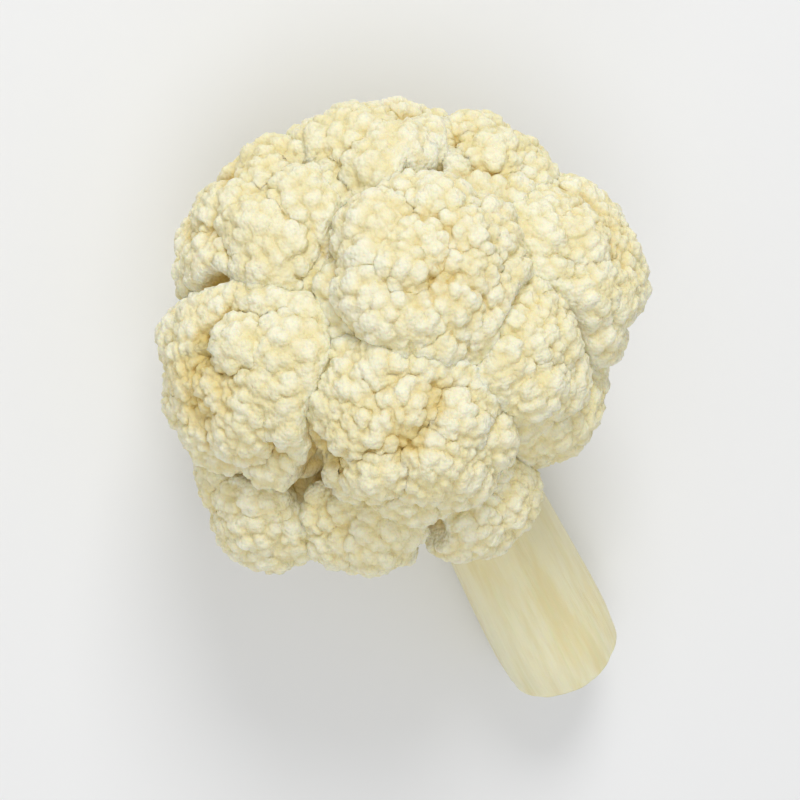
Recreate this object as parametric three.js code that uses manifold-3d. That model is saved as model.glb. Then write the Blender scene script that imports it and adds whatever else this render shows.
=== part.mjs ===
// One cauliflower floret, broken off by hand and lying on its side: a bent main stem with a flat knife cut,
// and twenty side florets, each a rounded lobe of curd on its own short branch, packed into one dome.
// Millimetres, +Z up. The floret rests on its rim lobes and on the edge of its cut stem, with the crown
// towards -Y and the stem to +Y. The origin is on the ground, under the middle of the bounding box.
import * as THREE from "three";
import { mergeVertices } from "three/addons/utils/BufferGeometryUtils.js";
import Module from "manifold-3d";

const wasm = await Module();
wasm.setup();

// ---- driving dimensions ----
const clearance = 0.3; // gap between neighbouring pieces
const layDown = 62; // degrees from standing on its stem to lying on its side
const leanOver = 2.6; // degrees rolled about the way the stem points
const facets = { stem: 20, lobe: 14 }; // straight sides around a piece

// The main stem in the head's own frame: +Z is the way the crown faces, +Y the side that ends up on top.
const stem = {
  cutEnd: new THREE.Vector3(0, 7.5, -43.5),
  bend: new THREE.Vector3(0, 0, -20),
  top: new THREE.Vector3(0, 0, 4),
  cutRadius: 6.2,
  waistRadius: 5.4,
  topRadius: 2.4,
  topStart: 0.55, // share of the length where it begins to narrow into the head
  rimRound: 0.3, // the worn edge of the cut
};

// The side branches: how they leave the stem, and their thickness as a share of their lobe's radius.
const branch = { below: 12, lowest: -20, highest: 0, hug: 0.45, neck: 0.42, flare: 0.5 };

// Every lobe: azimuth in degrees from +Y towards +X, polar angle in degrees from the crown, reach from the
// middle of the head to the lobe's outermost point, and the radius of the lobe itself.
const lobes = {
  crown_lobe_1: { azimuth: -140, polar: 30, reach: 21.5, radius: 9.2 },
  crown_lobe_2: { azimuth: 128, polar: 30, reach: 22, radius: 10 },
  crown_lobe_3: { azimuth: -30, polar: 38, reach: 21.5, radius: 8.8 },
  shoulder_lobe_1: { azimuth: -103, polar: 58, reach: 21.5, radius: 8.2 },
  shoulder_lobe_2: { azimuth: 176, polar: 64, reach: 21.5, radius: 9 },
  shoulder_lobe_3: { azimuth: 72, polar: 60, reach: 22.5, radius: 10 },
  shoulder_lobe_4: { azimuth: -36, polar: 76, reach: 20.5, radius: 7.4 },
  shoulder_lobe_5: { azimuth: 12, polar: 74, reach: 21.5, radius: 9 },
  shoulder_lobe_6: { azimuth: -76, polar: 82, reach: 23, radius: 8.8 },
  rim_lobe_1: { azimuth: 106, polar: 88, reach: 21.5, radius: 8.4 },
  rim_lobe_2: { azimuth: 148, polar: 94, reach: 22.5, radius: 8.8 },
  rim_lobe_3: { azimuth: -156, polar: 96, reach: 22, radius: 8.8 },
  rim_lobe_4: { azimuth: -117, polar: 92, reach: 21.5, radius: 8.2 },
  rim_lobe_5: { azimuth: 70, polar: 103, reach: 24, radius: 6.8 },
  rim_lobe_6: { azimuth: 38, polar: 108, reach: 21.5, radius: 6.6 },
  under_lobe_1: { azimuth: -42, polar: 112, reach: 19, radius: 6.8 },
  under_lobe_2: { azimuth: 4, polar: 120, reach: 21, radius: 5.6 },
  under_lobe_3: { azimuth: 112, polar: 122, reach: 18.5, radius: 6.4 },
  under_lobe_4: { azimuth: -92, polar: 122, reach: 18.5, radius: 6.4 },
  under_lobe_5: { azimuth: 172, polar: 126, reach: 18.5, radius: 6.4 },
};

const curdSkin = { color: "#e9e3bd", roughness: 0.75, metalness: 0 };
const stemSkin = { color: "#dcd9a8", roughness: 0.45, metalness: 0 };

const { degToRad, clamp, lerp, smoothstep } = THREE.MathUtils;
const crown = new THREE.Vector3(0, 0, 1);

// ---- shapes ----

// Carries a turned shape along a curve that lies in the plane square to side: its height becomes
// distance along the curve, and past the end of the curve it goes straight on.
function carriedAlong(geometry, curve, side) {
  const length = curve.getLength();
  const positions = geometry.attributes.position;
  const vertex = new THREE.Vector3();
  for (let i = 0; i < positions.count; i++) {
    vertex.fromBufferAttribute(positions, i);
    const share = clamp(vertex.y / length, 0, 1);
    const forward = curve.getTangentAt(share);
    const across = side.clone().cross(forward);
    const carried = curve
      .getPointAt(share)
      .addScaledVector(forward, vertex.y - share * length)
      .addScaledVector(side, vertex.x)
      .addScaledVector(across, vertex.z);
    positions.setXYZ(i, ...carried);
  }
  return geometry;
}

// The main stem, turned from cut end to tip. grow makes it larger all round.
function stemGeometry(grow) {
  const path = new THREE.QuadraticBezierCurve3(stem.cutEnd, stem.bend, stem.top);
  const length = path.getLength();
  const sections = 14;
  const profile = [new THREE.Vector2(0, -grow)];
  profile.push(new THREE.Vector2(stem.cutRadius + grow - stem.rimRound, -grow));
  for (let i = 0; i <= sections; i++) {
    const share = i / sections;
    const lower = lerp(stem.cutRadius, stem.waistRadius, smoothstep(share, 0, stem.topStart));
    const radius = lerp(lower, stem.topRadius, smoothstep(share, stem.topStart, 1));
    const height = i === 0 ? stem.rimRound - grow : share * length + (i === sections ? grow : 0);
    profile.push(new THREE.Vector2(radius + grow, height));
  }
  profile.push(new THREE.Vector2(0, length + grow));
  return carriedAlong(new THREE.LatheGeometry(profile, facets.stem), path, new THREE.Vector3(-1, 0, 0));
}

// Where a lobe sits: its middle, and the curve of its branch, which hugs the stem before it turns out.
function placed({ azimuth, polar, reach, radius }) {
  const outward = new THREE.Vector3(Math.sin(degToRad(azimuth)), Math.cos(degToRad(azimuth)), 0);
  const away = outward.clone().multiplyScalar(Math.sin(degToRad(polar)));
  away.addScaledVector(crown, Math.cos(degToRad(polar)));
  const middle = away.multiplyScalar(reach - radius);
  const root = new THREE.Vector3(0, 0, clamp(middle.z - branch.below, branch.lowest, branch.highest));
  const turn = root.clone().addScaledVector(crown, branch.hug * (middle.z - root.z));
  const path = new THREE.QuadraticBezierCurve3(root, turn, middle);
  return { middle, radius, path, side: outward.cross(crown).negate() };
}

// A lobe turned about its branch: a neck that flares like a trumpet into a ball of curd.
function lobeGeometry({ path, radius, side }) {
  const length = path.getLength();
  const ballStart = Math.PI - Math.acos(branch.flare);
  const flareEnd = length - branch.flare * radius;
  const neck = branch.neck * radius;
  const profile = [new THREE.Vector2(0, 0)];
  for (const share of [0, 0.4, 0.7, 0.88])
    profile.push(new THREE.Vector2(lerp(neck, radius * Math.sin(ballStart), share ** 2), share * flareEnd));
  const rings = 8;
  for (let i = 0; i < rings; i++) {
    const angle = lerp(ballStart, 0, i / rings);
    profile.push(new THREE.Vector2(radius * Math.sin(angle), length + radius * Math.cos(angle)));
  }
  profile.push(new THREE.Vector2(0, length + radius));
  return carriedAlong(new THREE.LatheGeometry(profile, facets.lobe), path, side);
}

// Everything beyond the plane where two neighbouring lobes press on each other, less half the clearance.
function beyondContact(own, other) {
  const size = 90;
  const towards = other.middle.clone().sub(own.middle);
  const apart = towards.length();
  const contact = (apart ** 2 + own.radius ** 2 - other.radius ** 2) / (2 * apart);
  towards.normalize();
  const turn = new THREE.Quaternion().setFromUnitVectors(crown, towards);
  const centre = own.middle.clone().addScaledVector(towards, contact - clearance / 2 + size / 2);
  const block = new THREE.BoxGeometry(size, size, size);
  return block.applyMatrix4(new THREE.Matrix4().compose(centre, turn, new THREE.Vector3(1, 1, 1)));
}

// ---- solids ----

function solidOf(geometry) {
  geometry.deleteAttribute("normal");
  geometry.deleteAttribute("uv");
  const merged = mergeVertices(geometry, 1e-3);
  const vertProperties = new Float32Array(merged.attributes.position.array);
  const triVerts = new Uint32Array(merged.index.array);
  return new wasm.Manifold(new wasm.Mesh({ numProp: 3, vertProperties, triVerts }));
}

function geometryOf(solid) {
  const { vertProperties, triVerts } = solid.getMesh();
  const geometry = new THREE.BufferGeometry();
  geometry.setAttribute("position", new THREE.BufferAttribute(new Float32Array(vertProperties), 3));
  geometry.setIndex(new THREE.BufferAttribute(new Uint32Array(triVerts), 1));
  geometry.computeVertexNormals();
  return geometry;
}

// A lobe with its neighbours' share and the room for the stem cut away, and only its largest piece kept.
function lobeSolid(own, others, stemRoom) {
  let solid = solidOf(lobeGeometry(own)).subtract(stemRoom);
  for (const other of others) solid = solid.subtract(solidOf(beyondContact(own, other)));
  return solid.decompose().sort((a, b) => b.volume() - a.volume())[0];
}

// ---- the floret ----
const head = new THREE.Group();
head.rotation.x = degToRad(layDown);

function add(name, solid, skin) {
  const mesh = new THREE.Mesh(geometryOf(solid), new THREE.MeshStandardMaterial(skin));
  mesh.name = name;
  head.add(mesh);
}

add("main_stem", solidOf(stemGeometry(0)), stemSkin);

const stemRoom = solidOf(stemGeometry(clearance));
const sites = Object.values(lobes).map(placed);
Object.keys(lobes).forEach((name, i) => {
  const others = sites.filter((site) => site !== sites[i]);
  add(name, lobeSolid(sites[i], others, stemRoom), curdSkin);
});

// ---- laid on the ground ----
const floret = new THREE.Group();
floret.add(head);
floret.rotation.y = degToRad(leanOver);
floret.updateMatrixWorld(true);
const box = new THREE.Box3().setFromObject(floret, true);
const boxMiddle = box.getCenter(new THREE.Vector3());
floret.position.set(-boxMiddle.x, -boxMiddle.y, -box.min.z);
floret.updateMatrixWorld(true);

export default floret;
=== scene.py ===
import math

import bpy
import numpy as np
from mathutils import Matrix, Vector


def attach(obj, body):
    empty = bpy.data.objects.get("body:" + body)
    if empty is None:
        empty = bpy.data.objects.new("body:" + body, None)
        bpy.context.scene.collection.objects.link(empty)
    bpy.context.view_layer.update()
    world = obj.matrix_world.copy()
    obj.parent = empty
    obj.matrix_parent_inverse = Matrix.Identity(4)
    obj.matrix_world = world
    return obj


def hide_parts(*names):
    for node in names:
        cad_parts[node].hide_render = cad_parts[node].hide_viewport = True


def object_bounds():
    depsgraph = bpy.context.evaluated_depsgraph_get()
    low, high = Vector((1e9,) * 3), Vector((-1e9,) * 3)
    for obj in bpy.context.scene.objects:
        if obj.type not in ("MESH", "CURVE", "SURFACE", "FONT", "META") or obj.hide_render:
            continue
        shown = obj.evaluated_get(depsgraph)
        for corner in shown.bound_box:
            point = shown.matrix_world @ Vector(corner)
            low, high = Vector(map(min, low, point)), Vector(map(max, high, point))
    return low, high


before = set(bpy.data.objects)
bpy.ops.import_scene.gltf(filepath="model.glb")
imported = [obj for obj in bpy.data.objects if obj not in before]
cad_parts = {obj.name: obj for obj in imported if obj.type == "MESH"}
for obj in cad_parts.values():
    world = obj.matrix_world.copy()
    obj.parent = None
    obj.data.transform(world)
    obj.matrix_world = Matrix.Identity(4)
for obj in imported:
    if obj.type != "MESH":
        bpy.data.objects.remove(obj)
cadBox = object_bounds()

# One raw cauliflower floret lying on a pale table. Shapes are worked out in millimetres, in the frame's own
# axes, and go into the meshes in metres.

goldenAngle = math.pi * (3 - math.sqrt(5))


# arrays of vectors

def unit(vectors):
    return vectors / np.maximum(np.linalg.norm(vectors, axis=-1, keepdims=True), 1e-9)


def dot(first, second):
    return (first * second).sum(-1)


def smooth(low, high, value):
    # 0 below low, 1 above high, and the S curve 3t^2 - 2t^3 between them
    t = np.clip((value - low) / (high - low), 0, 1)
    return t * t * (3 - 2 * t)


def turnedTo(axis):
    # three directions square to each other, the last of them along axis, as the rows of a table
    helper = np.array([0, 0, 1.0]) if abs(axis[2]) < 0.8 else np.array([0, 1.0, 0])
    sideways = unit(np.cross(helper, axis))
    return np.array([sideways, np.cross(axis, sideways), axis])


def spiral(count, widest, rng, loose):
    # directions over a cap by the golden angle: number k stands at turn k * 137.5 degrees, at the height
    # where the cap's area reaches its share (k + 1/2) / count, and loose shakes each a little
    k = np.arange(count) + 0.5
    height = 1 - (1 - math.cos(widest)) * k / count
    turn = k * goldenAngle + rng.uniform(0, 2 * math.pi)
    flat = np.sqrt(1 - height ** 2)
    directions = np.stack([flat * np.cos(turn), flat * np.sin(turn), height], 1)
    return unit(directions + rng.normal(0, loose, directions.shape) / math.sqrt(count))


def softMost(first, second, soft):
    # the larger of two arrays, rounded where they are within soft of each other
    blend = np.clip(0.5 + 0.5 * (first - second) / soft, 0, 1)
    return second + (first - second) * blend + soft * blend * (1 - blend)


# what the frame gives

def cadPoints(node):
    # the corner points of a CAD node, each once, in millimetres
    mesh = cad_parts[node].data
    flat = np.zeros(len(mesh.vertices) * 3)
    mesh.vertices.foreach_get("co", flat)
    return np.unique(np.round(flat.reshape(-1, 3) * 1000, 3), axis=0)


def fitBall(points):
    # the ball that most of a lobe's points lie on: |p|^2 = 2 p.c + (r^2 - |c|^2) solved for many sets of
    # four points, and then by least squares for all the points that agree with the best of them
    rng = np.random.default_rng(4)
    picks = points[rng.integers(0, len(points), (4000, 4))]
    systems = np.concatenate([2 * picks, np.ones((4000, 4, 1))], 2)
    sound = np.abs(np.linalg.det(systems)) > 1.0
    systems, picks = systems[sound], picks[sound]
    solved = np.linalg.solve(systems, (picks ** 2).sum(2)[..., None])[..., 0]
    centres = solved[:, :3]
    radii = np.sqrt(np.abs(solved[:, 3] + (centres ** 2).sum(1)))
    miss = np.abs(np.linalg.norm(points[None] - centres[:, None], axis=2) - radii[:, None])
    agree = (miss < 0.05).sum(1) * ((radii > 4) & (radii < 12))
    kept = points[miss[agree.argmax()] < 0.05]
    system = np.hstack([2 * kept, np.ones((len(kept), 1))])
    solution = np.linalg.lstsq(system, (kept ** 2).sum(1), rcond=None)[0]
    centre = solution[:3]
    return centre, math.sqrt(solution[3] + centre @ centre)


def fitLine(points, stations):
    # the middle line of a long piece: at each station along it, the mean of the points near it, weighted
    # by a bell curve, and the radius there in the same way
    middle = points.mean(0)
    lengthwise = np.linalg.svd(points - middle)[2][0]
    lengthwise = lengthwise * -np.sign(lengthwise[1])
    along = (points - middle) @ lengthwise
    places = np.linspace(along.min() + 1.5, along.max() - 1.5, stations)
    weights = np.exp(-((along[None] - places[:, None]) / 2.4) ** 2)
    weights /= weights.sum(1, keepdims=True)
    line = weights @ points
    apart = points[None] - line[:, None]
    sideways = apart - dot(apart, lengthwise)[..., None] * lengthwise
    radii = (weights * np.linalg.norm(sideways, axis=2)).sum(1)
    return line, radii


class Path:
    # a smooth curve through given points, walked by distance: the place there and the direction ahead
    def __init__(self, knots, count=160):
        knots = np.asarray(knots, float)
        for _ in range(4):  # corner cutting: each stretch keeps the points at 1/4 and 3/4 of it
            before, after = knots[:-1], knots[1:]
            inner = np.stack([0.75 * before + 0.25 * after, 0.25 * before + 0.75 * after], 1)
            knots = np.vstack([knots[:1], inner.reshape(-1, 3), knots[-1:]])
        steps = np.r_[0, np.cumsum(np.linalg.norm(np.diff(knots, axis=0), axis=1))]
        self.length = steps[-1]
        self.marks = np.linspace(0, self.length, count)
        self.points = np.stack([np.interp(self.marks, steps, knots[:, i]) for i in range(3)], 1)
        self.ahead = unit(np.gradient(self.points, axis=0))

    def at(self, distance):
        inside = np.clip(distance, 0, self.length)
        place = np.stack([np.interp(inside, self.marks, self.points[:, i]) for i in range(3)], -1)
        ahead = unit(np.stack([np.interp(inside, self.marks, self.ahead[:, i]) for i in range(3)], -1))
        return place + (distance - inside)[..., None] * ahead, ahead


stemPoints = cadPoints("main_stem")
stemMiddle, stemRadii = fitLine(stemPoints, 16)
lobeNames = sorted(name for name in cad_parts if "lobe" in name)
balls = {name: fitBall(cadPoints(name)) for name in lobeNames}
stations = np.linspace(0, len(stemMiddle) - 1, 90)
stemLine = np.stack([np.interp(stations, range(len(stemMiddle)), stemMiddle[:, i]) for i in range(3)], 1)
stemSizes = np.interp(stations, range(len(stemMiddle)), stemRadii)
crownWay = unit(stemMiddle[-1] - stemMiddle[-4])
headMiddle = stemMiddle[-1] - 3 * crownWay
print("frame read:", len(lobeNames), "lobes, crown towards", np.round(crownWay, 2))


# meshes

def ringMesh(name, rings, firstPole, lastPole, facts):
    # a closed skin over rings of points, with a single point at each end, all in millimetres. facts are
    # numbers kept at every point, ring by ring, with the two poles' own values at the ends
    count, around = rings.shape[:2]
    points = np.vstack([firstPole[None], rings.reshape(-1, 3), lastPole[None]]) * 0.001
    index = 1 + np.arange(count * around).reshape(count, around)
    following = np.roll(index, -1, axis=1)
    quads = np.stack([index[:-1], following[:-1], following[1:], index[1:]], -1).reshape(-1, 4)
    first = np.stack([np.zeros(around, int), following[0], index[0]], -1)
    last = np.stack([index[-1], following[-1], np.full(around, len(points) - 1)], -1)
    corners = np.concatenate([first.ravel(), quads.ravel(), last.ravel()])
    sizes = np.r_[np.full(around, 3), np.full(len(quads), 4), np.full(around, 3)]
    mesh = bpy.data.meshes.new(name)
    mesh.vertices.add(len(points))
    mesh.vertices.foreach_set("co", points.ravel())
    mesh.loops.add(len(corners))
    mesh.loops.foreach_set("vertex_index", corners.astype(np.int32))
    mesh.polygons.add(len(sizes))
    mesh.polygons.foreach_set("loop_start", np.r_[0, np.cumsum(sizes)[:-1]].astype(np.int32))
    mesh.update(calc_edges=True)
    mesh.validate()
    for key, value in facts.items():
        size = value.shape[-1] if value.ndim == 3 else 1
        grid = value.reshape(-1, size)
        whole = np.vstack([value[0].reshape(-1, size).mean(0), grid, value[-1].reshape(-1, size).mean(0)])
        kind = "FLOAT" if size == 1 else "FLOAT_VECTOR"
        attribute = mesh.attributes.new(key, kind, "POINT")
        attribute.data.foreach_set("value" if size == 1 else "vector", whole.astype(np.float32).ravel())
    mesh.shade_smooth()
    piece = bpy.data.objects.new(name, mesh)
    bpy.context.scene.collection.objects.link(piece)
    return piece


def gridNormals(rings):
    # the outward direction at each point: the cross product of the way around and the way along
    around = np.roll(rings, -1, axis=1) - np.roll(rings, 1, axis=1)
    along = np.gradient(rings, axis=0)
    return unit(np.cross(around, along))


def liftAlong(points, ways, centres, radii, soft, floor):
    # how far each point moves along its own way to reach the balls' outer skin:
    # (c - p).n + sqrt(r^2 - |c - p|^2 + ((c - p).n)^2), the highest of them all, rounded where two meet
    lift = np.full(len(points), floor)
    for centre, radius in zip(centres, radii):
        near = np.flatnonzero(np.abs(points - centre).max(1) < radius + 1.2)
        if not len(near):
            continue
        gap = centre - points[near]
        forward = dot(gap, ways[near])
        inside = radius ** 2 - dot(gap, gap) + forward ** 2
        height = np.where(inside > 0, forward + np.sqrt(np.maximum(inside, 0)), floor - 1)
        lift[near] = softMost(lift[near], height, soft)
    return lift


def hashed(cells, salt):
    # three numbers from 0 to 1 for each whole-number cell, the same each time: the fractions of large sines
    mixed = cells @ np.array([12.9898, 78.233, 37.719]) + salt
    scales = (1, 1.37, 1.91)
    return np.stack([np.modf(np.abs(np.sin(mixed * scale)) * 43758.5453)[0] for scale in scales], -1)


def grainLift(points, ways, size, radius, soft, salt):
    # grains: one dome in each cell of a cubic lattice, shaken off the cell's middle. Its height at a point
    # is sqrt(r^2 - d^2), with d the distance seen along the point's own way, and it fades out where the
    # dome's middle lies far above or below the skin. The highest of the 27 around a point counts
    cell = np.floor(points / size)
    lift = np.zeros(len(points))
    offsets = np.stack(np.meshgrid([-1, 0, 1], [-1, 0, 1], [-1, 0, 1]), -1).reshape(-1, 3)
    for offset in offsets:
        home = cell + offset
        gap = (home + 0.08 + 0.84 * hashed(home, salt)) * size - points
        forward = dot(gap, ways)
        inside = np.maximum(radius ** 2 - dot(gap, gap) + forward ** 2, 0)
        height = np.sqrt(inside) * (1 - smooth(0.45 * size, 0.85 * size, np.abs(forward)))
        lift = softMost(lift, height, soft)
    return lift


def calmPoles(rings, step):
    # near a pole the points of a ring crowd together, so waves around the ring that are shorter than two
    # steps between rings are taken out of it
    waves = np.fft.rfft(rings, axis=1)
    size = np.linalg.norm(rings - rings.mean(1, keepdims=True), axis=2).mean(1)
    most = np.maximum(math.pi * size / step, 1.0)
    number = np.arange(waves.shape[1])
    keep = 1 - smooth(0.8, 1.2, number[None] / most[:, None])
    return np.fft.irfft(waves * keep[..., None], n=rings.shape[1], axis=1)


# the side florets

lobe = {
    "pointStep": 0.235,  # millimetres between the points of the skin
    "shoulder": 0.18,      # how far the cap is wider than a ball, as a share of its radius
    "capEnd": 112,         # degrees from the lobe's top to where the curd ends
    "moundStep": 4.3,      # from mound to mound
    "moundBall": 0.80,     # a mound's radius as a share of that
    "nubStep": 1.6,        # from nub to nub
    "nubBall": 0.66,
    "nubSink": 0.62,       # how deep a nub's ball sits in its mound, as a share of the nub's radius
    "grainStep": 0.8,      # from grain to grain
    "grainBall": 0.6,
    "grainRise": 1.05,     # how much higher than a plain dome a grain stands
    "crack": 0.34,         # the width of the crack between two lobes
    "crackRound": 0.7,     # how round its lips are
    "wander": 0.8,         # how far the crack winds to either side
    "gape": 0.75,          # how much wider it opens in places
    "neck": 0.35,          # the branch's radius as a share of the lobe's
    "hug": 0.45,           # how long a branch follows the stem before it turns out
    "deepest": 2.4,        # how far the skin may sink between two stalks
    "fillet": 1.1,         # how far a branch flares where it leaves the stem
    "pleat": 0.24,         # how deep the ribs along a branch are
}


def branchPath(centre):
    # out of the stem's middle line, along the crown's way for a while, and then over to the lobe's middle
    height = (centre - headMiddle) @ crownWay
    rootHeight = np.clip(height - 12, -20, 0)
    heights = (stemMiddle - headMiddle) @ crownWay
    root = np.array([np.interp(rootHeight, heights, stemMiddle[:, i]) for i in range(3)])
    turn = root + lobe["hug"] * (height - rootHeight) * crownWay
    t = np.linspace(0, 1, 9)[:, None]
    return Path((1 - t) ** 2 * root + 2 * t * (1 - t) * turn + t ** 2 * centre)


def lobeSkin(path, radius):
    # the plain lobe: a branch that flares like a trumpet, neck + (end - neck) * share^2.4, and then a ball
    # from 120 degrees up to its top. Gives the points, the outward ways, and the distance along and around
    step = lobe["pointStep"]
    around = int(2 * math.pi * radius * 0.98 / step / 4) * 4
    flareEnd = path.length - 0.5 * radius
    neck = lobe["neck"] * radius
    along = np.linspace(0, 1, int(flareEnd / step / 2.2))
    trumpet = np.stack([neck + (0.866 * radius - neck) * along ** 2.4, flareEnd * along], 1)
    angles = np.linspace(math.radians(120), 0, int(math.radians(120) * radius / step) + 1)[1:-1]
    cap = np.stack([radius * np.sin(angles), path.length + radius * np.cos(angles)], 1)
    profile = np.vstack([trumpet, cap])
    slope = np.gradient(profile, axis=0)
    outwards = unit(np.stack([slope[:, 1], -slope[:, 0]], 1))
    kernel = np.hanning(15) / np.hanning(15).sum()
    padded = np.pad(outwards, ((7, 7), (0, 0)), "edge")
    outwards = unit(np.stack([np.convolve(padded[:, i], kernel, "valid") for i in range(2)], 1))
    outwards[-1] = [outwards[-1][0], abs(outwards[-1][1])]
    place, ahead = path.at(profile[:, 1])
    side = unit(np.cross(ahead[-1], ahead[0] + 1e-3 * np.array([1, 0.3, 0.2])))
    across = np.cross(ahead, side)
    turn = np.linspace(0, 2 * math.pi, around, endpoint=False)
    spoke = np.cos(turn)[None, :, None] * side + np.sin(turn)[None, :, None] * across[:, None]
    rings = place[:, None] + profile[:, 0][:, None, None] * spoke
    ways = unit(outwards[:, 0][:, None, None] * spoke + outwards[:, 1][:, None, None] * ahead[:, None])
    distance = np.broadcast_to(profile[:, 1][:, None], rings.shape[:2])
    return rings, ways, distance, turn, ahead[-1]


def stalkDistance(points, starts, ends, startRadii, endRadii, soft):
    # distance to a bundle of tapering stalks: for each |p - nearest point of its line| - radius there, joined
    # by the soft least  -s * log(sum(exp(-d / s)))
    total = np.full(len(points), 1e-30)
    for start, end, startRadius, endRadius in zip(starts, ends, startRadii, endRadii):
        line = end - start
        share = np.clip((points - start) @ line / (line @ line), 0, 1)
        away = np.linalg.norm(points - start - share[:, None] * line, axis=1)
        total += np.exp(-(away - startRadius - share * (endRadius - startRadius)) / soft)
    return -soft * np.log(total)


def wander(points):
    # a slow wave through space, the same for both neighbours, that makes the crack between them wind
    first = np.sin(points @ np.array([0.62, 0.31, -0.48]) + 0.7)
    second = np.sin(points @ np.array([-0.35, 0.93, 0.66]) + 2.9)
    third = np.sin(points @ np.array([1.15, -0.84, 1.02]) + 4.4)
    return 0.5 * first + 0.35 * second + 0.3 * third


def gape(points):
    # another slow wave, squared where it is above zero, for the places where a crack opens
    first = np.sin(points @ np.array([0.27, -0.36, 0.22]) + 1.1)
    second = np.sin(points @ np.array([0.31, 0.24, 0.45]) + 4.0)
    return np.clip(first + second - 0.4, 0, 1.2) ** 2


def makeLobe(name, seed):
    rng = np.random.default_rng(seed)
    centre, radius = balls[name]
    path = branchPath(centre)
    rings, ways, distance, turn, top = lobeSkin(path, radius)
    shape = rings.shape[:2]
    points, outward = rings.reshape(-1, 3), ways.reshape(-1, 3)

    # mounds over the cap, in the golden spiral, each at the end of its own stalk
    capEnd = math.radians(lobe["capEnd"])
    capArea = 2 * math.pi * radius ** 2 * (1 - math.cos(capEnd))
    count = int(round(capArea / (0.87 * lobe["moundStep"] ** 2)))
    directions = spiral(count, capEnd, rng, 0.85) @ turnedTo(top)
    lowness = 1 - directions @ top
    moundSize = lobe["moundBall"] * lobe["moundStep"]
    moundRadii = moundSize * (0.82 + 0.2 * lowness) * rng.uniform(0.86, 1.14, count)
    reach = radius * (1 + lobe["shoulder"] * np.clip(1 - (directions @ top) ** 2, 0, 1))
    mounds = centre + (reach + rng.uniform(-0.5, 0.1, count) - moundRadii)[:, None] * directions
    fork = centre - 0.62 * radius * top
    forks = np.repeat(fork[None], count, 0)

    # onto the bundle of stalks and mounds, from outside along each point's own way
    starts = np.vstack([forks, mounds])
    ends = np.vstack([mounds - 0.4 * moundRadii[:, None] * unit(mounds - fork), mounds + 0.01])
    startRadii = np.r_[np.full(count, 0.2 * radius), moundRadii]
    endRadii = np.r_[0.62 * moundRadii, moundRadii]
    travelled = np.full(len(points), -2.2)
    for _ in range(9):
        probe = points - travelled[:, None] * outward
        travelled += 0.92 * stalkDistance(probe, starts, ends, startRadii, endRadii, 0.2)
    lift = softMost(-travelled, np.full(len(points), -lobe["deepest"]), 0.8)
    onBranch = smooth(0.0, -0.35 * radius, (points - fork) @ top)
    lift = lift * (1 - onBranch)

    # neighbours press it flat: the plane midway between two balls, by their radii
    wall = np.full(len(points), 9.0)
    for other, (otherCentre, otherRadius) in balls.items():
        apart = otherCentre - centre
        gap = np.linalg.norm(apart)
        if other == name or gap > radius + otherRadius:
            continue
        towards = apart / gap
        contact = (gap ** 2 + radius ** 2 - otherRadius ** 2) / (2 * gap) - lobe["crack"] / 2
        slant = outward @ towards
        sign = 1 if name < other else -1
        room = contact + sign * lobe["wander"] * wander(points) - lobe["gape"] * gape(points)
        room = room - (points - centre) @ towards
        height = np.where(slant > 0.06, room / np.maximum(slant, 0.06), 9.0)
        wall = -softMost(-wall, -height, 0.5)
    wall = np.maximum(wall, -0.8 * radius) + 6 * onBranch
    pressed = 1 / (1 + np.exp(np.clip((wall - lift) / 0.35, -30, 30)))
    lift = -softMost(-lift, -wall, lobe["crackRound"])
    skin = points + lift[:, None] * outward
    skin = calmPoles(skin.reshape(*shape, 3), lobe["pointStep"]).reshape(-1, 3)

    # curd covers the outer side of every mound, and the stalks below stay bare
    gaps = skin[:, None] - mounds[None]
    nearest = (np.linalg.norm(gaps, axis=2) - moundRadii).argmin(1)
    own = unit(skin - mounds[nearest])
    stalkWay = unit(mounds - fork)
    facing = dot(own, stalkWay[nearest])
    curd = smooth(-0.35, 0.05, facing) * (1 - onBranch)
    ridge = curd * (1 - 0.85 * pressed)

    # nubs on the mounds, and grains on the nubs
    normals = gridNormals(skin.reshape(*shape, 3)).reshape(-1, 3)
    nubCentres, nubRadii = [], []
    for mound, moundRadius, way in zip(mounds, moundRadii, stalkWay):
        nubs = int(round(2 * math.pi * moundRadius ** 2 * 1.15 / (0.87 * lobe["nubStep"] ** 2)))
        nubWays = spiral(nubs, math.radians(98), rng, 0.5) @ turnedTo(way)
        size = lobe["nubStep"] * lobe["nubBall"] * rng.uniform(0.78, 1.15, nubs)
        nubCentres.append(mound + (moundRadius - lobe["nubSink"] * size)[:, None] * nubWays)
        nubRadii.append(size)
    nubCentres, nubRadii = np.vstack(nubCentres), np.concatenate(nubRadii)
    nubLift = liftAlong(skin, normals, nubCentres, nubRadii, 0.16, -0.12)
    skin = skin + (ridge * nubLift)[:, None] * normals
    skin = calmPoles(skin.reshape(*shape, 3), lobe["pointStep"]).reshape(-1, 3)
    normals = unit(gridNormals(skin.reshape(*shape, 3)).reshape(-1, 3) + 0.4 * normals)
    grain = lobe["grainStep"]
    grains = grainLift(skin, normals, grain, lobe["grainBall"] * grain, 0.06, seed * 1.7)
    skin = skin + (lobe["grainRise"] * ridge * grains)[:, None] * normals
    skin = calmPoles(skin.reshape(*shape, 3), lobe["pointStep"]).reshape(-1, 3)

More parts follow.
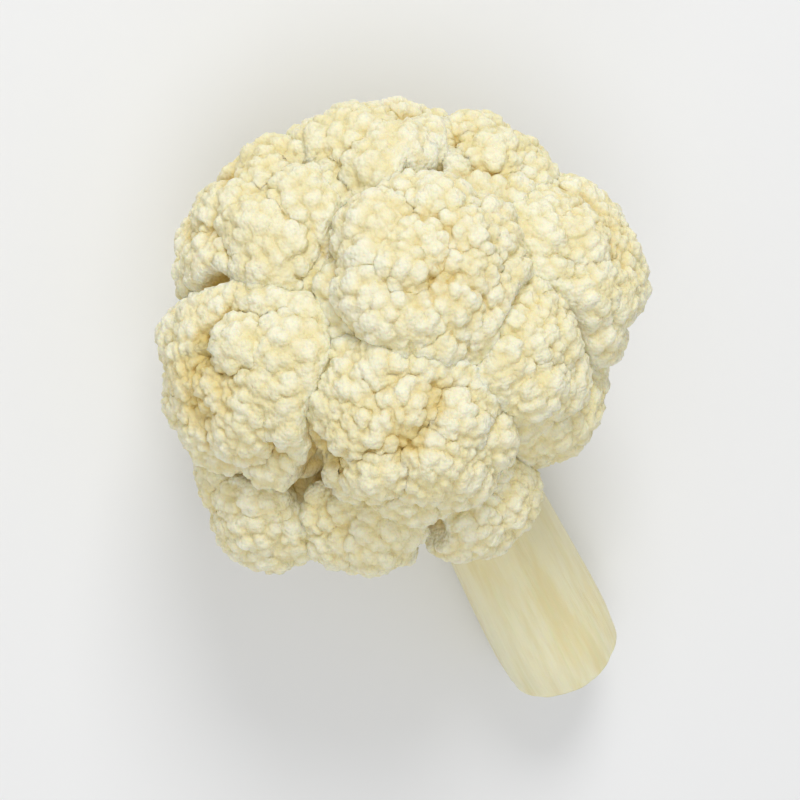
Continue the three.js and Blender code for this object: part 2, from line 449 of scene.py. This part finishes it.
    # ribs along the bare branch, and a flare where it leaves the stem, of height * exp(-(d / width)^2)
    ribs = np.sin(5 * turn[None] + 0.25 * distance + seed) + 0.5 * np.sin(11 * turn[None] - 0.2 * distance)
    ribs = ribs + 0.35 * np.sin(17 * turn[None] + 0.35 * distance + 2 * seed)
    low = np.flatnonzero(onBranch > 0)
    away = (np.linalg.norm(skin[low][:, None] - stemLine[None], axis=2) - stemSizes[None]).min(1)
    flare = np.zeros(len(skin))
    flare[low] = lobe["fillet"] * np.exp(-(away / 1.3) ** 2)
    skin = skin + (onBranch * (lobe["pleat"] * ribs.ravel() + flare))[:, None] * outward

    # nothing goes below the table
    skin[:, 2] = 0.5 * (skin[:, 2] + np.sqrt(skin[:, 2] ** 2 + 0.02))

    # how deep the skin lies below its lobe's ball, in the cracks between lobes: the mask for painted shade
    # there
    crackShadeMask = np.clip((np.linalg.norm(points - centre, axis=1) + lobe["shoulder"] * radius - 0.4
                     - np.linalg.norm(skin - centre, axis=1)) / 3, 0, 1) * (1 - onBranch)
    # where the skin lies low between nubs: the mask for painted shade there
    nubShadeMask = smooth(0.75, -0.1, nubLift) * curd
    # where the skin lies low between grains: the mask for painted shade there
    grainShadeMask = smooth(0.5, 0.1, grains) * curd
    grid = np.ones(shape)
    along = np.stack([np.cos(turn)[None] * grid, np.sin(turn)[None] * grid, distance * 0.1], -1)
    skinGrid = skin.reshape(*shape, 3)
    facts = {
        "crack": crackShadeMask.reshape(shape),
        "hollowShade": nubShadeMask.reshape(shape),
        "grain": grainShadeMask.reshape(shape),
        "bare": (1 - curd).reshape(shape),
        "fibre": along,
    }
    root = path.points[0] - 0.3 * path.ahead[0]
    piece = ringMesh(name + "_curd", skinGrid, root, skinGrid[-1].mean(0), facts)
    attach(piece, "root")
    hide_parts(name)
    return piece


lobes = [makeLobe(name, 11 + number) for number, name in enumerate(lobeNames)]
print("side florets:", len(lobes), "with", sum(len(p.data.polygons) for p in lobes) * 2, "triangles")


# the main stem

stem = {
    "around": 180,
    "lengthStep": 0.35,
    "rim": 0.45,           # how worn the edge of the cut is
    "dish": 0.35,          # how far the pith has sunk below the rim of the cut
    "rib": 0.22,
    "swell": 1.3,          # how far it swells where a branch leaves it
}


def makeStem():
    # a round section carried along the middle line, radius = plain radius + ribs + swellings that rise
    # below each branch, closed by the flat cut at one end and a point inside the head at the other
    ends = stemPoints[np.argsort(-(stemPoints - stemMiddle[0]) @ unit(stemMiddle[0] - stemMiddle[2]))[:8]]
    tail = unit(stemMiddle[0] - stemMiddle[2])
    start = stemMiddle[0] + ((ends - stemMiddle[0]) @ tail).mean() * tail
    path = Path(np.vstack([start[None], stemMiddle]))
    distances = np.arange(stem["rim"], path.length, stem["lengthStep"])
    knots = np.r_[0, np.linalg.norm(stemMiddle - start, axis=1)]
    plain = np.interp(distances, knots, np.r_[stemRadii[0], stemRadii])
    place, ahead = path.at(distances)
    side = unit(np.cross(ahead, [0, 0, 1.0]))
    across = np.cross(ahead, side)
    turn = np.linspace(0, 2 * math.pi, stem["around"], endpoint=False)
    spoke = np.cos(turn)[None, :, None] * side[:, None] + np.sin(turn)[None, :, None] * across[:, None]
    share = distances[:, None] / path.length
    ribs = 0.5 * np.sin(3 * turn + 0.6 + 0.8 * share) + 0.35 * np.sin(5 * turn + 2.1 - 1.1 * share)
    ribs = ribs + 0.16 * np.sin(11 * turn + 0.4 + 2 * share) + 0.1 * np.sin(19 * turn - 1.5 * share)
    size = plain[:, None] + stem["rib"] * ribs
    for centre, radius in balls.values():
        branch = branchPath(centre)
        leaving, _ = branch.at(np.array([0.55 * branch.length]))
        gap = leaving[0] - place
        apart = gap - dot(gap, ahead)[:, None] * ahead
        way = unit(apart[np.abs(dot(gap, ahead)).argmin()])
        facing = np.clip(spoke @ way, -1, 1)
        below = dot(gap, ahead)
        rise = smooth(13, 3, below)
        thick = smooth(3, 6, plain)
        size = size + stem["swell"] * rise[:, None] * np.exp(-((1 - facing) / 0.16)) * thick[:, None]
    rings = place[:, None] + size[..., None] * spoke
    # the cut: rings shrink to the middle, dished in the pith, with a rounded rim
    cutShares = np.array([0.0, 0.12, 0.25, 0.38, 0.5, 0.6, 0.7, 0.78, 0.86, 0.93, 0.975])
    cutPlace, cutAhead = path.at(np.zeros(1))
    first = size[0]
    wobble = 0.12 * np.sin(2 * turn + 1) + 0.06 * np.sin(7 * turn)
    sunk = stem["dish"] * (1 - smooth(0.55, 0.9, cutShares))[:, None] * (1 + 0 * turn) + 0.08 * wobble
    cut = cutPlace + (cutShares[1:, None] * (first - 0.15))[..., None] * spoke[0]
    cut = cut + sunk[1:][..., None] * cutAhead
    rounding = np.array([[0.97, 0.08], [0.99, 0.25]])
    lip = cutPlace + (rounding[:, 0][:, None] * first)[..., None] * spoke[0]
    lip = lip + rounding[:, 1][:, None, None] * cutAhead
    whole = np.concatenate([cut, lip, rings])
    whole[..., 2] = 0.5 * (whole[..., 2] + np.sqrt(whole[..., 2] ** 2 + 0.02))
    count = len(whole)
    cutShare = np.r_[cutShares[1:], 1, 1, np.full(len(rings), 1)]
    onCut = np.r_[np.ones(len(cut)), 0.5, 0.1, np.zeros(len(rings))]
    alongStem = np.r_[np.zeros(len(cut) + 2), distances]
    grid = np.ones((count, len(turn)))
    facts = {
        "cutShare": cutShare[:, None] * grid,
        "onCut": onCut[:, None] * grid,
        "height": (alongStem / path.length)[:, None] * grid,
        "bare": grid,
        "fibre": np.stack([np.cos(turn) * grid, np.sin(turn) * grid, alongStem[:, None] * 0.1 * grid], -1),
    }
    tip, _ = path.at(np.array([path.length]))
    middle = cutPlace[0] + stem["dish"] * cutAhead[0]
    piece = ringMesh("main_stem_skin", whole, middle, tip[0], facts)
    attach(piece, "root")
    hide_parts("main_stem")
    return piece


stemPiece = makeStem()
print("stem:", len(stemPiece.data.polygons) * 2, "triangles")


# finishes

class Value:
    # wraps a socket, so that an expression on it adds its Math nodes
    def __init__(self, look, socket):
        self.look = look
        self.socket = socket

    def worked(self, operation, first, second):
        return self.look.node("ShaderNodeMath", {"operation": operation}, {0: first, 1: second})

    def __add__(self, other):
        return self.worked("ADD", self, other)

    def __sub__(self, other):
        return self.worked("SUBTRACT", self, other)

    def __rsub__(self, other):
        return self.worked("SUBTRACT", other, self)

    def __mul__(self, other):
        return self.worked("MULTIPLY", self, other)

    __radd__ = __add__
    __rmul__ = __mul__


class Look:
    # one material and its nodes
    def __init__(self, name):
        self.material = bpy.data.materials.new(name)
        self.material.use_nodes = True
        self.tree = self.material.node_tree
        self.tree.nodes.clear()

    def node(self, kind, settings=None, values=None, output=0):
        made = self.tree.nodes.new(kind)
        for key, setting in (settings or {}).items():
            setattr(made, key, setting)
        for key, value in (values or {}).items():
            if isinstance(value, Value):
                self.tree.links.new(value.socket, made.inputs[key])
            elif isinstance(value, tuple) and made.inputs[key].type == "RGBA":
                made.inputs[key].default_value = (*value, 1)
            else:
                made.inputs[key].default_value = value
        return Value(self, made.outputs[output]) if len(made.outputs) else None

    def fact(self, name, output="Fac"):
        return self.node("ShaderNodeAttribute", {"attribute_name": name}, output=output)

    def noise(self, vector, scale, detail=3, rough=0.55):
        values = {"Vector": vector, "Scale": scale, "Detail": detail, "Roughness": rough}
        return self.node("ShaderNodeTexNoise", {}, values)

    def mixed(self, share, first, second):
        values = {0: share, 6: first, 7: second}
        return self.node("ShaderNodeMix", {"data_type": "RGBA"}, values, output=2)

    def between(self, value, low, high):
        values = {0: value, 1: low, 2: high, 3: 0.0, 4: 1.0}
        return self.node("ShaderNodeMapRange", {"interpolation_type": "SMOOTHSTEP"}, values)

    def place(self, turned=(0, 0, 0), scale=(1, 1, 1)):
        raw = self.node("ShaderNodeTexCoord", {}, output="Object")
        return self.node("ShaderNodeMapping", {}, {"Vector": raw, "Rotation": turned, "Scale": scale})


tints = {
    "curdTop": (0.885, 0.86, 0.67),
    # a deeper curd tone: in random patches, and as painted shade between the grains
    "curdToneAndGrainShade": (0.86, 0.815, 0.565),
    # painted shade for the hollows between nubs
    "curdHollowShade": (0.80, 0.695, 0.35),
    # painted shade for the cracks between lobes
    "curdCrackShade": (0.72, 0.55, 0.19),
    "curdPale": (0.90, 0.89, 0.76),
    "stemPale": (0.84, 0.805, 0.57),
    "stemGreen": (0.70, 0.72, 0.40),
    # the stem's colour in shade, painted on in streaks, towards the head and on the bare stalks
    "stemShade": (0.72, 0.61, 0.28),
    "pith": (0.86, 0.83, 0.64),
    "vessel": (0.66, 0.66, 0.38),
    "cutEdge": (0.62, 0.50, 0.24),
}


def stemColour(look, fibre):
    # pale and waxy, with long faint strands, a little green, and cloudy streaks of painted shade
    strands = look.node("ShaderNodeMapping", {}, {"Vector": fibre, "Scale": (14.0, 14.0, 1.1)})
    strand = look.noise(strands, 1.0, 4, 0.6)
    streaks = look.node("ShaderNodeMapping", {}, {"Vector": fibre, "Scale": (3.0, 3.0, 0.7)})
    cloud = look.noise(streaks, 1.0, 4, 0.6)
    colour = look.mixed(look.between(cloud, 0.38, 0.7) * 0.6, tints["stemPale"], tints["stemShade"])
    colour = look.mixed(look.between(strand, 0.52, 0.74) * 0.45, colour, tints["stemGreen"])
    return colour, strand


def curdLook():
    look = Look("curd")
    place = look.place()
    fibre = look.fact("fibre", "Vector")
    crack, hollowShade, grain, bare = (look.fact(key) for key in ("crack", "hollowShade", "grain", "bare"))
    cloud = look.noise(place, 70.0, 3)
    speck = look.noise(place, 900.0, 4, 0.7)
    colour = look.mixed(look.between(cloud, 0.35, 0.68), tints["curdTop"], tints["curdToneAndGrainShade"])
    colour = look.mixed(look.between(speck, 0.5, 0.72) * 0.35, colour, tints["curdPale"])
    # painted shade: the deeper curd tone between the grains
    colour = look.mixed(look.between(grain, 0.35, 1.0) * 0.45, colour, tints["curdToneAndGrainShade"])
    # painted shade in the hollows between nubs
    colour = look.mixed(look.between(hollowShade, 0.3, 1.0) * 0.7, colour, tints["curdHollowShade"])
    # painted shade, darkest, deep in the cracks between lobes
    colour = look.mixed(look.between(crack, 0.18, 0.8) * 0.95, colour, tints["curdCrackShade"])
    bareColour, strand = stemColour(look, fibre)
    # painted shade: the bare stalks under the head, half mixed towards the shaded stem colour
    bareColour = look.mixed(0.45, bareColour, tints["stemShade"])
    colour = look.mixed(bare, colour, bareColour)
    roughness = 0.62 - bare * 0.2 + speck * 0.12
    dimples = look.node("ShaderNodeTexVoronoi", {}, {"Vector": place, "Scale": 2600.0})
    relief = (1 - bare) * (speck * 0.5 - dimples * 0.9) + bare * strand * 0.5
    bump = look.node("ShaderNodeBump", {}, {"Strength": 0.7, "Distance": 0.00022, "Height": relief})
    finishLook(look, colour, roughness, bump, 0.3, (1.0, 0.72, 0.34), 0.001)
    return look.material


def stemLook():
    look = Look("stem")
    place = look.place()
    fibre = look.fact("fibre", "Vector")
    cutShare, onCut, height = (look.fact(key) for key in ("cutShare", "onCut", "height"))
    colour, strand = stemColour(look, fibre)
    # painted shade: darker towards the head, where the head shades the stem
    colour = look.mixed(look.between(height, 0.1, 0.75) * 0.75, colour, tints["stemShade"])
    speck = look.noise(place, 700.0, 3)
    bundles = look.node("ShaderNodeTexVoronoi", {}, {"Vector": place, "Scale": 900.0})
    ring = look.between(cutShare, 0.60, 0.70) * (1 - look.between(cutShare, 0.80, 0.88))
    face = look.mixed(ring * (0.9 - bundles), tints["pith"], tints["vessel"])
    face = look.mixed(look.between(cutShare, 0.86, 0.97) * 0.6, face, tints["stemGreen"])
    dried = look.between(cutShare, 0.95, 1.0) * look.between(speck, 0.35, 0.6)
    face = look.mixed(dried, face, tints["cutEdge"])
    colour = look.mixed(onCut, colour, face)
    roughness = 0.42 - onCut * 0.1 + speck * 0.14
    pore = look.node("ShaderNodeTexVoronoi", {}, {"Vector": place, "Scale": 1900.0})
    relief = strand * 0.8 + onCut * (speck * 0.6 + pore * 0.7)
    bump = look.node("ShaderNodeBump", {}, {"Strength": 0.6, "Distance": 0.00024, "Height": relief})
    finishLook(look, colour, roughness, bump, 0.45, (1.0, 0.8, 0.42), 0.0025)
    return look.material


def finishLook(look, colour, roughness, bump, depthShare, depthTint, depthScale):
    # a moist, slightly see-through skin over it all
    values = {
        "Base Color": colour,
        "Roughness": roughness,
        "Normal": bump,
        "IOR": 1.38,
        "Subsurface Weight": depthShare,
        "Subsurface Radius": depthTint,
        "Subsurface Scale": depthScale,
    }
    shader = look.node("ShaderNodeBsdfPrincipled", {}, values)
    look.node("ShaderNodeOutputMaterial", {}, {"Surface": shader})


curdMaterial = curdLook()
stemMaterial = stemLook()
for piece in lobes:
    piece.data.materials.append(curdMaterial)
stemPiece.data.materials.append(stemMaterial)
print("finishes done")


# table, light and camera

studio = {
    "azimuth": 7.4,        # the camera, in degrees around and above the floret
    "elevation": 72.8,
    "roll": 144.4,         # turned about its own line of sight, anticlockwise
    "lens": 110,
    "distance": 0.226,
    "aimRight": -0.0045,   # metres from the floret's middle to the middle of the picture
    "aimUp": 0.0037,
    "table": (0.86, 0.865, 0.87),
    "world": 0.53,
}


def areaLight(name, place, size, power, target):
    light = bpy.data.lights.new(name, "AREA")
    light.shape = "DISK"
    light.size = size
    light.energy = power
    holder = bpy.data.objects.new(name, light)
    bpy.context.scene.collection.objects.link(holder)
    holder.location = place
    holder.rotation_euler = (target - Vector(place)).to_track_quat("-Z", "Y").to_euler()


def makeTable():
    corner = 1.5
    mesh = bpy.data.meshes.new("table")
    points = [(-corner, -corner, 0), (corner, -corner, 0), (corner, corner, 0), (-corner, corner, 0)]
    mesh.from_pydata(points, [], [(0, 1, 2, 3)])
    look = Look("table")
    tone = look.noise(look.place(), 6.0)
    colour = look.mixed(tone, studio["table"], tuple(0.97 * part for part in studio["table"]))
    shader = look.node("ShaderNodeBsdfPrincipled", {}, {"Base Color": colour, "Roughness": 0.7})
    look.node("ShaderNodeOutputMaterial", {}, {"Surface": shader})
    mesh.materials.append(look.material)
    table = bpy.data.objects.new("table", mesh)
    bpy.context.scene.collection.objects.link(table)


def makeCamera(target):
    around, above = math.radians(studio["azimuth"]), math.radians(studio["elevation"])
    back = Vector((math.sin(around) * math.cos(above), -math.cos(around) * math.cos(above), math.sin(above)))
    right = Vector((math.cos(around), math.sin(around), 0))
    up = back.cross(right)
    roll = math.radians(studio["roll"])
    turnedUp = up * math.cos(roll) - right * math.sin(roll)
    turnedRight = turnedUp.cross(back)
    camera = bpy.data.objects.new("camera", bpy.data.cameras.new("camera"))
    bpy.context.scene.collection.objects.link(camera)
    camera.data.lens = studio["lens"]
    camera.data.clip_start = 0.01
    turned = Matrix((turnedRight, turnedUp, back)).transposed().to_4x4()
    aim = target + studio["aimRight"] * turnedRight + studio["aimUp"] * turnedUp
    turned.translation = aim + back * studio["distance"]
    camera.matrix_world = turned
    bpy.context.scene.camera = camera


lowest, highest = cadBox
middle = (Vector(lowest) + Vector(highest)) / 2
makeTable()
makeCamera(middle)
areaLight("keyLight", (-0.24, -0.52, 0.47), 0.3, 2.35, middle)
areaLight("skyLight", (0.1, 0.0, 0.8), 0.5, 1.2, middle)
areaLight("fillLight", (0.4, 0.5, 0.35), 0.4, 0.5, middle)
world = bpy.data.worlds.new("studio")
world.use_nodes = True
bpy.context.scene.view_settings.view_transform = "Standard"
backdrop = world.node_tree.nodes["Background"]
backdrop.inputs[0].default_value = (1.0, 1.0, 1.0, 1)
backdrop.inputs[1].default_value = studio["world"]
bpy.context.scene.world = world
print("studio done")
